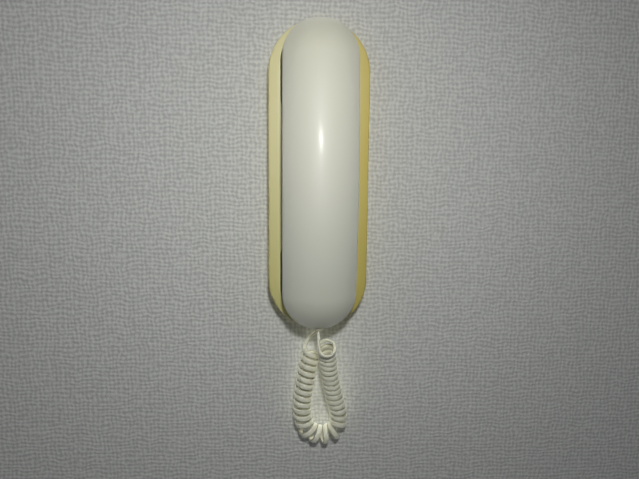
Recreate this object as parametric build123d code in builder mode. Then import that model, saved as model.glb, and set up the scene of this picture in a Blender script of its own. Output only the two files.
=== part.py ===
"""A wall-mounted door phone: a stadium-shaped base with a crowned handset and a curly cord.

The part's frame has +Z up and the front facing -Y. The wall is the plane y = 0, and the origin is
the centre of the two fixing slots in the wall bracket. All lengths are in millimetres. A height
"off the wall" is measured from the wall towards the viewer, along -Y.
"""
from build123d import *
import os
from math import asin, cos, degrees, pi, radians, sin, sqrt, tan

os.makedirs("parts", exist_ok=True)

# Base housing
base_width = 72.3
base_length = 219.5
housing_wall = 2.2
cover_back = 0.6        # height of the cover's rear rim off the wall
rim_height = 20.5       # height where the side wall turns into the sloping band
land_height = 24.0      # height of the flat land around the wells
band_width = 7.5        # width of the sloping band between rim and land
side_draft = 0.5        # how far the side wall leans in between rear rim and band
rim_radius = 1.6
land_radius = 5.0

# Wells that hold the two ends of the handset
well_floor = 14.0
well_radius = 27.3
well_centre = 78.8
well_inner_end = 49.0
well_corner = 5.0

# Handset
handset_width = 51.6
crest_height = 56.0     # height of the crest off the wall, at the middle
crown_radius = 36.0
bow_radius = 480.0      # lengthwise radius of the crest
bow_end = 81.0          # where the round ends begin
shoulder_radius = 3.5
handset_draft = 1.0     # how far the side walls lean in over the depth of the handset
handset_depth = 46.0    # depth of the uncut section below the crest
grip_back = 27.6        # height of the grip's back face off the wall
cup_back = 15.0         # height of the ear and mouth faces off the wall
cup_edge = 57.0         # where the cups begin, along the handset
grip_edge = 48.0        # where the grip's flat back ends
back_corner = 5.0
seam_height = 30.0      # height of the seam between the two handset shells
handset_wall = 2.2

# Clearances
fit_gap = 0.15          # between parts that are pushed together
part_gap = 0.3          # between the handset and what it rests on
pin_gap = 0.05          # radial clearance of the lever on its pin
lift_angle = 17.0       # the handset leaves the cradle outwards and this far upwards, in degrees

# Wall bracket and rear tray
bracket_width = 46.0
bracket_length = 150.0
bracket_sheet = 1.2
bracket_corner = 6.0
box_spacing = 83.5      # distance between the screws of a standard single switch box
slot_width = 4.6
slot_length = 9.0
cable_width = 34.0      # opening for the house wires
cable_height = 28.0
cable_corner = 3.0
hook_x = 14.0
hook_z = 62.0
hook_width = 8.0
hook_reach = 6.3
hook_lip = 5.0
tray_back = 1.5
tray_sheet = 2.2
tray_rim_height = 6.0
tray_rim = 1.6

# Circuit board and what stands on it
board_back = 8.0
board_sheet = 1.6
board_width = 46.0
board_bottom = -36.0
board_top = 45.0
board_corner = 2.0
post_x = 18.5
post_low = -31.0
post_high = 40.0
post_radius = 3.0
transformer_width = 19.0
transformer_length = 16.0
transformer_height = 10.5
transformer_x = -11.0
transformer_z = 29.0
capacitor_x = 11.0
capacitor_radius = 3.2
capacitor_height = 9.0
capacitor_pitch = 8.0
terminal_width = 25.0
terminal_length = 10.0
terminal_height = 5.0
terminal_pitch = 6.0

# Screws
case_screw_x = base_width / 2 - 8.0
case_screw_z = 42.0
case_screw_radius = 1.3
case_head_radius = 2.5
case_head_height = 1.1
case_screw_length = 11.0
boss_radius = 3.0
board_screw_radius = 1.1
board_head_radius = 2.2
board_head_height = 1.3
board_screw_length = 5.0
terminal_screw_radius = 1.1
terminal_head_radius = 2.0
terminal_head_height = 0.9
terminal_screw_length = 3.5
handset_screw_radius = 1.3
handset_head_radius = 2.6
handset_head_height = 1.6
handset_screw_length = 9.0
handset_screw_z = 38.0
handset_pocket = 2.4    # depth of the pocket around the head of a handset screw
screw_gap = 0.05        # radial gap between a screw and its hole

# Call speaker
speaker_z = -8.0
speaker_radius = 18.0
speaker_depth = 10.0
speaker_rim = 2.0
magnet_radius = 10.0
cone_depth = 6.5
gasket_height = 0.9
gasket_width = 2.5
grille_radius = 14.0
grille_slot = 1.8
grille_pitch = 4.2

# Hook lever, its pin, spring and switch
pivot_height = 8.0
pivot_z = -52.0
hub_radius = 3.0
pin_radius = 1.25
pin_head_radius = 2.2
pin_head_length = 0.8
lever_width = 5.0
nose_z = -66.0
nose_radius = 2.6
arm_thickness = 3.0
tail_length = 8.5
tail_thickness = 2.4
ear_sheet = 2.0
ear_gap = 0.3
lever_slot_width = 6.6
lever_slot_low = -71.5
lever_slot_high = -56.5
spring_z = -60.0
spring_radius = 2.0
spring_wire = 0.3
spring_turns = 3
switch_width = 12.0
switch_length = 6.5
switch_height = 6.0
leaf_width = 4.0
leaf_sheet = 0.3

# Retaining tab in the upper well
tab_width = 14.0
tab_reach = 4.0
tab_low = 60.5
tab_high = 63.3

# Receiver and microphone
receiver_z = 82.0
receiver_radius = 15.0
receiver_height = 8.5
receiver_gasket_height = 1.0
receiver_gasket_width = 3.0
seat_rib = 1.2
seat_rib_height = 4.5
ear_hole_radius = 1.1
ear_hole_circle = 6.5
ear_dish_radius = 18.0
ear_dish_depth = 0.8
microphone_z = -84.0
microphone_radius = 4.85
microphone_height = 6.0
boot_wall = 1.6
boot_height = 7.5
boot_floor = 1.2
mouth_slot_length = 7.0
mouth_slot_width = 1.6
mouth_slot_pitch = 3.4
weight_width = 22.0
weight_length = 56.0
weight_sheet = 3.0
weight_peg_radius = 1.6
weight_peg_z = 20.0

# Cord: the flat cord is drawn as a tube of like section
cord_tube = 3.0
cord_sides = 5
grommet_radius = 3.6
grommet_neck = 2.9
grommet_out = 2.4
grommet_in = 2.0
base_cord_height = 7.6
curl_radius = 5.5
curl_turns = 31.25
curl_start_angle = 180.0
curl_spread = 0.9       # how much of the crowding inside a bend is taken out by wider spacing
steps_per_turn = 48
# The line down the middle of the curls, from the handset's end to the base's: x, height, z
curl_route = [
    (7.6, 31.0, -121.6),
    (7.6, 21.5, -120.6),
    (7.6, 18.9, -133.0),
    (9.2, 17.0, -144.0),
    (11.6, 15.0, -155.0),
    (14.6, 12.8, -167.0),
    (18.0, 11.0, -180.0),
    (16.4, 10.0, -194.5),
    (4.5, 9.6, -200.0),
    (-7.2, 9.4, -194.5),
    (-10.8, 9.2, -181.0),
    (-10.2, 9.2, -167.0),
    (-8.0, 9.2, -153.0),
    (-6.0, 9.2, -143.0),
    (-4.0, 9.2, -134.5),
]
# Points of the two free ends between their grommets and the curls: x, height, z
handset_lead_route = [(0.0, 30.0, -112.4)]
base_lead_route = [(0.0, 7.6, -115.8), (-6.3, 8.6, -120.6), (-9.6, 11.6, -127.0)]
# Wires inside the handset, from its grommet past the weight to the receiver
wire_diameter = 2.0
wire_route = [
    (0.0, 30.0, -95.0),
    (12.0, 35.5, -70.0),
    (13.5, 37.0, -30.0),
    (13.5, 37.5, 8.0),
    (12.5, 36.5, 40.0),
    (6.0, 35.5, 70.0),
    (0.0, 34.7, 82.0),
]


def off_wall(height):
    """Plane parallel to the wall; sketches on it use x and z, and extrude towards the viewer."""
    return Plane.XZ.offset(height)


def place(x, height, z):
    return Vector(x, -height, z)


def save(name, builder):
    builder.part.label = name
    export_step(builder.part, f"parts/{name}.step")


# Base housing

def cradle_form(inset, back):
    """The base's outer form, or the same form moved inwards by a wall's thickness."""
    rim = rim_height - inset * (1 - rim_height / land_height / 2)
    sections = (
        (back, inset),
        (rim, inset + side_draft),
        (land_height - inset, inset + side_draft + band_width),
    )
    with BuildPart() as form:
        for height, shrink in sections:
            with BuildSketch(off_wall(height)):
                SlotOverall(base_length - 2 * shrink, base_width - 2 * shrink, rotation=90)
        loft(ruled=True)
    return form


def well_outline(grow):
    """Both wells: round towards the base's ends, square with round corners towards its middle."""
    reach = well_centre - well_inner_end + grow
    with Locations((0, well_centre - reach / 2)):
        Rectangle(2 * (well_radius + grow), reach)
    fillet(vertices().sort_by(Axis.Y)[:2], well_corner + grow)
    with Locations((0, well_centre)):
        Circle(well_radius + grow)
    mirror(about=Plane.XZ)


def grille_slots():
    rows = int(grille_radius / grille_pitch)
    for row in range(-rows, rows + 1):
        length = 2 * sqrt(grille_radius**2 - (row * grille_pitch) ** 2)
        with Locations((0, speaker_z + row * grille_pitch)):
            SlotOverall(length, grille_slot)


outer_form = cradle_form(0.0, cover_back)
with BuildPart() as rounded_form:
    add(outer_form.part)
    fillet(edges().filter_by_position(Axis.Y, -rim_height - 0.01, -rim_height + 0.01), rim_radius)
    fillet(edges().filter_by_position(Axis.Y, -land_height - 0.01, -land_height + 0.01), land_radius)

inner_form = cradle_form(housing_wall, cover_back - 1.0)
with BuildPart() as cover_hollow:
    add(inner_form.part)
    with BuildSketch(off_wall(well_floor - housing_wall)):
        well_outline(housing_wall)
    extrude(amount=land_height, mode=Mode.SUBTRACT)

speaker_seat = land_height - housing_wall
tray_front = tray_back + tray_sheet
with BuildPart() as base_cover:
    add(rounded_form.part)
    add(cover_hollow.part, mode=Mode.SUBTRACT)
    with BuildSketch(off_wall(well_floor)):
        well_outline(0.0)
    extrude(amount=land_height, mode=Mode.SUBTRACT)
    # Bosses for the case screws, up to the inside of the sloping band
    with BuildSketch(off_wall(tray_front)):
        with GridLocations(2 * case_screw_x, 2 * case_screw_z, 2, 2):
            Circle(boss_radius)
    extrude(amount=rim_height - tray_front)
    with BuildSketch(off_wall(tray_front)):
        with GridLocations(2 * case_screw_x, 2 * case_screw_z, 2, 2):
            Circle(case_screw_radius + screw_gap)
    extrude(amount=case_screw_length, mode=Mode.SUBTRACT)
    # Ring that locates the call speaker, and the grille in front of it
    with BuildSketch(off_wall(speaker_seat)):
        with Locations((0, speaker_z)):
            Circle(speaker_radius + fit_gap + seat_rib)
            Circle(speaker_radius + fit_gap, mode=Mode.SUBTRACT)
    extrude(amount=-seat_rib_height)
    with BuildSketch(off_wall(speaker_seat - 1.0)):
        grille_slots()
    extrude(amount=housing_wall + 2.0, mode=Mode.SUBTRACT)
    # Slot that the hook lever's nose comes through
    with BuildSketch(off_wall(well_floor - housing_wall - 1.0)):
        with Locations((0, (lever_slot_low + lever_slot_high) / 2)):
            SlotOverall(lever_slot_high - lever_slot_low, lever_slot_width, rotation=90)
    extrude(amount=housing_wall + 2.0, mode=Mode.SUBTRACT)
    # Retaining tab, leaning up along the handset's way out
    tab_rise = (tab_reach + housing_wall) * tan(radians(lift_angle))
    tab_root = -(well_floor - housing_wall)
    tab_tip = -(well_floor + tab_reach)
    root_drop = housing_wall * tan(radians(lift_angle))
    with BuildSketch(Plane.YZ):
        with BuildLine():
            Polyline(
                (tab_root, tab_low - root_drop),
                (tab_tip, tab_low - root_drop + tab_rise),
                (tab_tip, tab_high - root_drop + tab_rise),
                (tab_root, tab_high - root_drop),
                close=True,
            )
        make_face()
    extrude(amount=tab_width / 2, both=True)
    # Hole for the cord's grommet in the lower end
    with BuildSketch(Plane.XY.offset(-base_length / 2)):
        with Locations((0, -base_cord_height)):
            Circle(grommet_neck)
    extrude(amount=2 * housing_wall, mode=Mode.SUBTRACT)
save("base_cover", base_cover)

tray_inset = housing_wall + fit_gap
hook_window = hook_lip + 2.0
with BuildPart() as base_rear:
    with BuildSketch(off_wall(tray_back)):
        SlotOverall(base_length - 2 * tray_inset - 1.0, base_width - 2 * tray_inset - 1.0, rotation=90)
    extrude(amount=tray_sheet)
    with BuildSketch(off_wall(tray_front)) as tray_rim_ring:
        SlotOverall(base_length - 2 * tray_inset - 1.0, base_width - 2 * tray_inset - 1.0, rotation=90)
        offset(amount=-tray_rim, mode=Mode.SUBTRACT)
        with Locations((0, -base_length / 2)):
            Rectangle(2.5 * grommet_radius, 8 * tray_rim, mode=Mode.SUBTRACT)
    extrude(amount=tray_rim_height - tray_front)
    # Opening for the house wires and windows for the bracket's hooks
    with BuildSketch(off_wall(tray_back)):
        RectangleRounded(cable_width, cable_height, cable_corner)
        for z in (hook_z, -hook_z):
            with Locations((hook_x, z + hook_lip / 2), (-hook_x, z + hook_lip / 2)):
                Rectangle(hook_width + 1.0, hook_window)
    extrude(amount=tray_sheet, mode=Mode.SUBTRACT)
    # Counterbored holes for the case screws
    with Locations(off_wall(tray_back)):
        with GridLocations(2 * case_screw_x, 2 * case_screw_z, 2, 2):
            Cylinder(case_screw_radius + 2 * fit_gap, 3 * tray_sheet, mode=Mode.SUBTRACT)
            Cylinder(case_head_radius + fit_gap, 2 * case_head_height, mode=Mode.SUBTRACT)
    # Posts under the circuit board
    with BuildSketch(off_wall(tray_front)):
        with Locations(*[(x, z) for x in (-post_x, post_x) for z in (post_low, post_high)]):
            Circle(post_radius)
    extrude(amount=board_back - tray_front)
    with BuildSketch(off_wall(board_back)):
        with Locations(*[(x, z) for x in (-post_x, post_x) for z in (post_low, post_high)]):
            Circle(board_screw_radius + screw_gap)
    extrude(amount=-(board_back - tray_front), mode=Mode.SUBTRACT)
    # Ears that carry the hook lever's pin
    for side in (-1, 1):
        ear_middle = side * (lever_width / 2 + ear_gap + ear_sheet / 2)
        with BuildSketch(Plane.YZ.offset(ear_middle)):
            with Locations((-pivot_height, pivot_z)):
                Circle(hub_radius)
            with Locations((-(pivot_height + tray_front) / 2, pivot_z)):
                Rectangle(pivot_height - tray_front, 2 * hub_radius)
            with Locations((-pivot_height, pivot_z)):
                Circle(pin_radius + 0.02, mode=Mode.SUBTRACT)
        extrude(amount=ear_sheet / 2, both=True)
save("base_rear", base_rear)

with BuildPart() as wall_bracket:
    with BuildSketch(off_wall(0)):
        RectangleRounded(bracket_width, bracket_length, bracket_corner)
        RectangleRounded(cable_width + 2.0, cable_height + 2.0, cable_corner + 1.0, mode=Mode.SUBTRACT)
        with GridLocations(0, box_spacing, 1, 2):
            SlotOverall(slot_length, slot_width, rotation=90, mode=Mode.SUBTRACT)
    extrude(amount=bracket_sheet)
    for z in (hook_z, -hook_z):
        for x in (hook_x, -hook_x):
            with BuildSketch(Plane.YZ.offset(x)):
                with BuildLine():
                    Polyline(
                        (-bracket_sheet, z),
                        (-hook_reach, z),
                        (-hook_reach, z + hook_lip),
                        (-hook_reach + bracket_sheet, z + hook_lip),
                        (-hook_reach + bracket_sheet, z + bracket_sheet),
                        (-bracket_sheet, z + bracket_sheet),
                        close=True,
                    )
                make_face()
            extrude(amount=hook_width / 2, both=True)
save("wall_bracket", wall_bracket)


def screw_group(name, places, seat, head_radius, head_height, shank_radius, length, side=1):
    """Pan-head screws whose heads lie on a face at a height off the wall and point to one side."""
    with BuildPart() as screws:
        with BuildSketch(off_wall(seat)):
            with Locations(*places):
                Circle(head_radius)
        extrude(amount=-side * head_height)
        with BuildSketch(off_wall(seat)):
            with Locations(*places):
                Circle(shank_radius)
        extrude(amount=side * length)
        with BuildSketch(off_wall(seat - side * head_height)):
            with Locations(*places):
                Rectangle(1.4 * head_radius, 0.3 * head_radius)
        extrude(amount=side * head_height / 2, mode=Mode.SUBTRACT)
    save(name, screws)


case_places = [(x, z) for x in (-case_screw_x, case_screw_x) for z in (-case_screw_z, case_screw_z)]
screw_group(
    "case_screws",
    case_places,
    tray_back + case_head_height,
    case_head_radius,
    case_head_height,
    case_screw_radius,
    case_screw_length - 1.0,
)

# Circuit board and what stands on it

board_front = board_back + board_sheet
board_centre = (board_bottom + board_top) / 2
with BuildPart() as circuit_board:
    with BuildSketch(off_wall(board_back)):
        with Locations((0, board_centre)):
            RectangleRounded(board_width, board_top - board_bottom, board_corner)
        with Locations(*[(x, z) for x in (-post_x, post_x) for z in (post_low, post_high)]):
            Circle(board_screw_radius + fit_gap, mode=Mode.SUBTRACT)
    extrude(amount=board_sheet)
save("circuit_board", circuit_board)

screw_group(
    "board_screws",
    [(-post_x, post_high), (post_x, post_low)],
    board_front,
    board_head_radius,
    board_head_height,
    board_screw_radius,
    board_screw_length,
    side=-1,
)

with BuildPart() as line_transformer:
    with BuildSketch(off_wall(board_front)):
        with Locations((transformer_x, transformer_z)):
            Rectangle(transformer_width, 0.6 * transformer_length)
    extrude(amount=transformer_height)
    with BuildSketch(off_wall(board_front + 0.2 * transformer_height)):
        with Locations((transformer_x, transformer_z)):
            RectangleRounded(0.6 * transformer_width, transformer_length, 1.5)
    extrude(amount=0.6 * transformer_height)
save("line_transformer", line_transformer)

with BuildPart() as board_capacitors:
    with BuildSketch(off_wall(board_front)):
        with Locations((capacitor_x, transformer_z)):
            with GridLocations(0, capacitor_pitch, 1, 3):
                Circle(capacitor_radius)
    extrude(amount=capacitor_height)
    chamfer(edges().group_by(Axis.Y)[0], 0.4)
save("board_capacitors", board_capacitors)

terminal_places = [((i - 1.5) * terminal_pitch, 0) for i in range(4)]
terminal_back = board_back - terminal_height
with BuildPart() as terminal_block:
    with BuildSketch(off_wall(board_back)):
        Rectangle(terminal_width, terminal_length)
    extrude(amount=-terminal_height)
    with BuildSketch(off_wall(terminal_back)):
        with Locations(*terminal_places):
            Circle(terminal_head_radius + fit_gap)
    extrude(amount=terminal_head_height, mode=Mode.SUBTRACT)
    with BuildSketch(off_wall(terminal_back)):
        with Locations(*terminal_places):
            Circle(terminal_screw_radius + screw_gap)
    extrude(amount=terminal_screw_length + terminal_head_height, mode=Mode.SUBTRACT)
save("terminal_block", terminal_block)

screw_group(
    "terminal_screws",
    terminal_places,
    terminal_back + terminal_head_height,
    terminal_head_radius,
    terminal_head_height,
    terminal_screw_radius,
    terminal_screw_length - 0.5,
)

# Call speaker behind the grille

speaker_front = speaker_seat - gasket_height
with BuildPart() as speaker_gasket:
    with BuildSketch(off_wall(speaker_front)):
        with Locations((0, speaker_z)):
            Circle(speaker_radius)
            Circle(speaker_radius - gasket_width, mode=Mode.SUBTRACT)
    extrude(amount=gasket_height)
save("speaker_gasket", speaker_gasket)

speaker_back = speaker_front - speaker_depth
with BuildPart() as call_speaker:
    with BuildSketch(Plane.YZ) as speaker_section:
        with BuildLine():
            Polyline(
                (-speaker_front, speaker_z),
                (-speaker_front, speaker_z + speaker_radius),
                (-speaker_front + speaker_rim, speaker_z + speaker_radius),
                (-speaker_front + speaker_rim, speaker_z + 0.85 * speaker_radius),
                (-speaker_front + cone_depth, speaker_z + magnet_radius),
                (-speaker_back, speaker_z + magnet_radius),
                (-speaker_back, speaker_z),
                close=True,
            )
        make_face()
        # The paper cone, open towards the grille
        with BuildLine():
            Polyline(
                (-speaker_front, speaker_z),
                (-speaker_front, speaker_z + 0.8 * speaker_radius),
                (-speaker_front + 0.6 * cone_depth, speaker_z + 0.3 * speaker_radius),
                (-speaker_front + 0.4 * cone_depth, speaker_z),
                close=True,
            )
        make_face(mode=Mode.SUBTRACT)
    revolve(axis=Axis((0, 0, speaker_z), (0, 1, 0)))
save("call_speaker", call_speaker)

# Hook lever: the handset presses its nose, and its tail lets go of the switch's leaf

nose_top = cup_back - part_gap
with BuildPart() as hook_lever:
    with BuildSketch(Plane.YZ):
        with Locations((-pivot_height, pivot_z)):
            Circle(hub_radius)
        with Locations((-pivot_height, (pivot_z + nose_z) / 2)):
            Rectangle(arm_thickness, pivot_z - nose_z)
        with Locations((-(pivot_height + nose_top - nose_radius) / 2, nose_z)):
            Rectangle(nose_top - nose_radius - pivot_height + arm_thickness, 2 * nose_radius)
        with Locations((-(nose_top - nose_radius), nose_z)):
            Circle(nose_radius)
        with Locations((-pivot_height, pivot_z + tail_length / 2)):
            Rectangle(tail_thickness, tail_length)
        with Locations((-pivot_height, pivot_z)):
            Circle(pin_radius + pin_gap, mode=Mode.SUBTRACT)
    extrude(amount=lever_width / 2, both=True)
save("hook_lever", hook_lever)

pin_half = lever_width / 2 + ear_gap + ear_sheet
with BuildPart() as hook_lever_pin:
    with BuildSketch(Plane.YZ.offset(-pin_half)):
        with Locations((-pivot_height, pivot_z)):
            Circle(pin_radius)
    extrude(amount=2 * pin_half + pin_head_length)
    with BuildSketch(Plane.YZ.offset(-pin_half)):
        with Locations((-pivot_height, pivot_z)):
            Circle(pin_head_radius)
    extrude(amount=-pin_head_length)
save("hook_lever_pin", hook_lever_pin)

leaf_height = pivot_height + tail_thickness / 2 + part_gap
with BuildPart() as hook_switch:
    with BuildSketch(off_wall(board_front)):
        with Locations((0, board_bottom + switch_length / 2)):
            Rectangle(switch_width, switch_length)
    extrude(amount=switch_height)
    # Spring leaf that reaches over the lever's tail
    with BuildSketch(Plane.YZ):
        with BuildLine():
            Polyline(
                (-leaf_height, pivot_z + tail_length - 1.5),
                (-leaf_height - leaf_sheet, pivot_z + tail_length - 1.5),
                (-leaf_height - leaf_sheet, board_bottom - 1.0),
                (-board_front - 2.0, board_bottom),
                (-board_front - 1.0, board_bottom),
                (-leaf_height, board_bottom - 1.0),
                close=True,
            )
        make_face()
    extrude(amount=leaf_width / 2, both=True)
save("hook_switch", hook_switch)


def spring_path(radius, bottom, height, turns, pieces):
    """Points of a coil spring that stands on a height off the wall."""
    for i in range(turns * pieces + 1):
        angle = 2 * pi * i / pieces
        yield place(
            radius * cos(angle),
            bottom + height * i / (turns * pieces),
            spring_z + radius * sin(angle),
        )


spring_bottom = tray_front + spring_wire
spring_height = pivot_height - arm_thickness / 2 - spring_wire - spring_bottom
spring_line = list(spring_path(spring_radius, spring_bottom, spring_height, spring_turns, 4))


def biarc(start, start_way, end, end_way):
    """Two arcs that leave one point and reach another along given unit directions."""
    chord = end - start
    both = start_way + end_way
    a = 2 * (1 - start_way.dot(end_way))
    b = 2 * chord.dot(both)
    c = -chord.dot(chord)
    if abs(a) < 1e-9:
        reach = -c / b
    else:
        reach = (-b + sqrt(b * b - 4 * a * c)) / (2 * a)
    corner_in = start + start_way * reach
    corner_out = end - end_way * reach
    middle = (corner_in + corner_out) * 0.5
    middle_way = (corner_out - corner_in).normalized()
    TangentArc(start, middle, tangent=start_way)
    TangentArc(middle, end, tangent=middle_way)


with BuildPart() as hook_spring:
    with BuildLine() as spring_wire_line:
        rise = spring_height / (spring_turns * 2 * pi * spring_radius)
        ways = []
        for i in range(len(spring_line)):
            angle = 2 * pi * i / 4
            ways.append(place(-sin(angle), rise, cos(angle)).normalized())
        for i in range(0, len(spring_line) - 2, 2):
            biarc(spring_line[i], ways[i], spring_line[i + 2], ways[i + 2])
    with BuildSketch(Plane(origin=spring_line[0], z_dir=ways[0])):
        RegularPolygon(spring_wire, 4)
    sweep(path=spring_wire_line.wires()[0])
save("hook_spring", hook_spring)

# Handset: a D-shaped section carried along the bow, with round ends

bow_centre = bow_radius - crest_height
crown_drop = crown_radius - sqrt(crown_radius**2 - (handset_width / 2) ** 2)
end_turn = degrees(asin(bow_end / (bow_radius - crown_drop)))


def bow_plane(turn):
    """Section plane across the handset; its origin is on the crest and its y points inwards."""
    a = radians(turn)
    origin = (0, bow_centre - bow_radius * cos(a), bow_radius * sin(a))
    return Plane(origin=origin, x_dir=(1, 0, 0), z_dir=(0, sin(a), cos(a)))


def half_section(inset):
    """Half of the D: crown arc, rounded shoulder and a side wall that leans in a little."""
    radius = crown_radius - inset
    half_width = handset_width / 2 - inset
    spread = degrees(asin(half_width / radius))
    shoulder = inset + radius - sqrt(radius**2 - half_width**2)
    with BuildLine() as outline:
        CenterArc((0, inset + radius), radius, -90, spread)
        Polyline(
            (half_width, shoulder),
            (half_width - handset_draft, handset_depth),
            (0, handset_depth),
            (0, inset),
        )
    make_face(outline.edges())
    corner = vertices().sort_by_distance((half_width, shoulder))[0]
    fillet(corner, shoulder_radius - 0.5 * inset)


def handset_end(height):
    """How far the handset's end wall is from its middle, at a height off the wall."""
    a = radians(end_turn)
    reach = handset_width / 2 - handset_draft / 4
    depth = (bow_radius * cos(a) - bow_centre - reach * sin(a) - height) / cos(a)
    if depth < crown_drop:
        reach = sqrt(crown_radius**2 - (crown_radius - max(depth, 0.0)) ** 2)
    return bow_radius * sin(a) - depth * sin(a) + reach * cos(a)


def handset_form(inset):
    across = Axis((0, bow_centre, 0), (1, 0, 0))
    end_plane = bow_plane(end_turn)
    end_axis = Axis(end_plane.origin, end_plane.y_dir * -1)
    with BuildPart() as form:
        with BuildSketch(end_plane):
            half_section(inset)
            mirror(about=Plane.YZ)
        revolve(axis=across, revolution_arc=end_turn)
        with BuildSketch(end_plane):
            half_section(inset)
        revolve(axis=end_axis, revolution_arc=180)
        mirror(about=Plane.XY)
    return form


def behind_handset(grow):
    """The space behind the handset: the well floors and the room for fingers behind the grip."""
    far = base_length
    with BuildPart() as space:
        with BuildSketch(Plane.YZ):
            with BuildLine():
                Polyline(
                    (handset_depth, -far),
                    (-cup_back, -far),
                    (-cup_back, -cup_edge),
                    (-grip_back, -grip_edge),
                    (-grip_back, grip_edge),
                    (-cup_back, cup_edge),
                    (-cup_back, far),
                    (handset_depth, far),
                    close=True,
                )
            make_face()
            fillet(vertices().filter_by_position(Axis.Y, -cup_edge - 1, cup_edge + 1), back_corner)
            if grow:
                offset(amount=grow, kind=Kind.INTERSECTION, mode=Mode.REPLACE)
        extrude(amount=base_width, both=True)
    return space


handset_hollow = handset_form(handset_wall)
grown_space = behind_handset(handset_wall)
with BuildPart() as handset_cavity:
    add(handset_hollow.part)
    add(grown_space.part, mode=Mode.SUBTRACT)

handset_body = handset_form(0.0)
finger_space = behind_handset(0.0)
with BuildPart() as handset_shell:
    add(handset_body.part)
    add(finger_space.part, mode=Mode.SUBTRACT)
    add(handset_cavity.part, mode=Mode.SUBTRACT)

grommet_hole_z = -(bow_end + handset_width / 2 + 2 * handset_wall)
crest_inside = crest_height - handset_wall
screw_places = [(0, -handset_screw_z), (0, handset_screw_z)]
pocket_seat = grip_back + handset_pocket
boss_seat = pocket_seat + 1.6
with BuildPart() as handset_front:
    add(handset_shell.part)
    split(bisect_by=off_wall(seam_height), keep=Keep.TOP)
    # Bosses for the handset screws, from the crown down to the rear shell's pockets
    with BuildSketch(off_wall(boss_seat)):
        with Locations(*screw_places):
            Circle(boss_radius)
    extrude(amount=crest_inside - boss_seat)
    with BuildSketch(off_wall(boss_seat)):
        with Locations(*screw_places):
            Circle(handset_screw_radius + screw_gap)
    extrude(amount=handset_screw_length, mode=Mode.SUBTRACT)
    with BuildSketch(Plane.XY.offset(-bow_end)):
        with Locations((0, -seam_height)):
            Circle(grommet_neck)
    extrude(amount=grommet_hole_z + bow_end, mode=Mode.SUBTRACT)
save("handset_front", handset_front)

cup_inside = cup_back + handset_wall
plate_inside = grip_back + handset_wall
with BuildPart() as handset_back:
    add(handset_shell.part)
    split(bisect_by=off_wall(seam_height), keep=Keep.BOTTOM)
    # Pockets for the screw heads
    with BuildSketch(off_wall(plate_inside)):
        with Locations(*screw_places):
            Circle(handset_head_radius + 2 * fit_gap + seat_rib)
    extrude(amount=boss_seat - plate_inside)
    with BuildSketch(off_wall(grip_back)):
        with Locations(*screw_places):
            Circle(handset_head_radius + 2 * fit_gap)
    extrude(amount=handset_pocket, mode=Mode.SUBTRACT)
    with BuildSketch(off_wall(pocket_seat)):
        with Locations(*screw_places):
            Circle(handset_screw_radius + 2 * fit_gap)
    extrude(amount=boss_seat - pocket_seat, mode=Mode.SUBTRACT)
    # Pegs that hold the weight
    with BuildSketch(off_wall(plate_inside)):
        with GridLocations(0, 2 * weight_peg_z, 1, 2):
            Circle(weight_peg_radius)
    extrude(amount=weight_sheet + 1.0)
    # Ear: a shallow dish with holes, and the seat of the receiver
    with BuildSketch(off_wall(cup_inside)):
        with Locations((0, receiver_z)):
            Circle(receiver_radius + fit_gap + seat_rib)
            Circle(receiver_radius + fit_gap, mode=Mode.SUBTRACT)
    extrude(amount=seat_rib_height)
    dish_sphere = (ear_dish_radius**2 + ear_dish_depth**2) / (2 * ear_dish_depth)
    with Locations(place(0, cup_back + ear_dish_depth - dish_sphere, receiver_z)):
        Sphere(dish_sphere, mode=Mode.SUBTRACT)
    with BuildSketch(off_wall(cup_back)):
        with Locations((0, receiver_z)):
            Circle(ear_hole_radius)
            with PolarLocations(ear_hole_circle, 6):
                Circle(ear_hole_radius)
    extrude(amount=2 * handset_wall, mode=Mode.SUBTRACT)
    # Mouth: three slots, and the seat of the microphone's boot
    with BuildSketch(off_wall(cup_inside)):
        with Locations((0, microphone_z)):
            Circle(microphone_radius + boot_wall + fit_gap + seat_rib)
            Circle(microphone_radius + boot_wall + fit_gap, mode=Mode.SUBTRACT)
    extrude(amount=seat_rib_height)
    with BuildSketch(off_wall(cup_back)):
        with Locations((0, microphone_z)):
            with GridLocations(0, mouth_slot_pitch, 1, 3):
                SlotOverall(mouth_slot_length, mouth_slot_width)
    extrude(amount=2 * handset_wall, mode=Mode.SUBTRACT)
    # Slot that the base's retaining tab goes into
    tab_slope = tan(radians(lift_angle))
    slot_low = tab_low + (cup_back - well_floor) * tab_slope - 2 * part_gap
    slot_high = tab_high + (cup_inside - well_floor) * tab_slope + 2 * part_gap
    with BuildSketch(off_wall(cup_back)):
        with Locations((0, (slot_low + slot_high) / 2)):
            Rectangle(tab_width + 4 * part_gap, slot_high - slot_low)
    extrude(amount=2 * handset_wall, mode=Mode.SUBTRACT)
    with BuildSketch(Plane.XY.offset(-bow_end)):
        with Locations((0, -seam_height)):
            Circle(grommet_neck)
    extrude(amount=grommet_hole_z + bow_end, mode=Mode.SUBTRACT)
save("handset_back", handset_back)

screw_group(
    "handset_screws",
    screw_places,
    pocket_seat,
    handset_head_radius,
    handset_head_height,
    handset_screw_radius,
    handset_screw_length,
)

with BuildPart() as receiver_gasket:
    with BuildSketch(off_wall(cup_inside)):
        with Locations((0, receiver_z)):
            Circle(receiver_radius)
            Circle(receiver_radius - receiver_gasket_width, mode=Mode.SUBTRACT)
    extrude(amount=receiver_gasket_height)
save("receiver_gasket", receiver_gasket)

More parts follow.
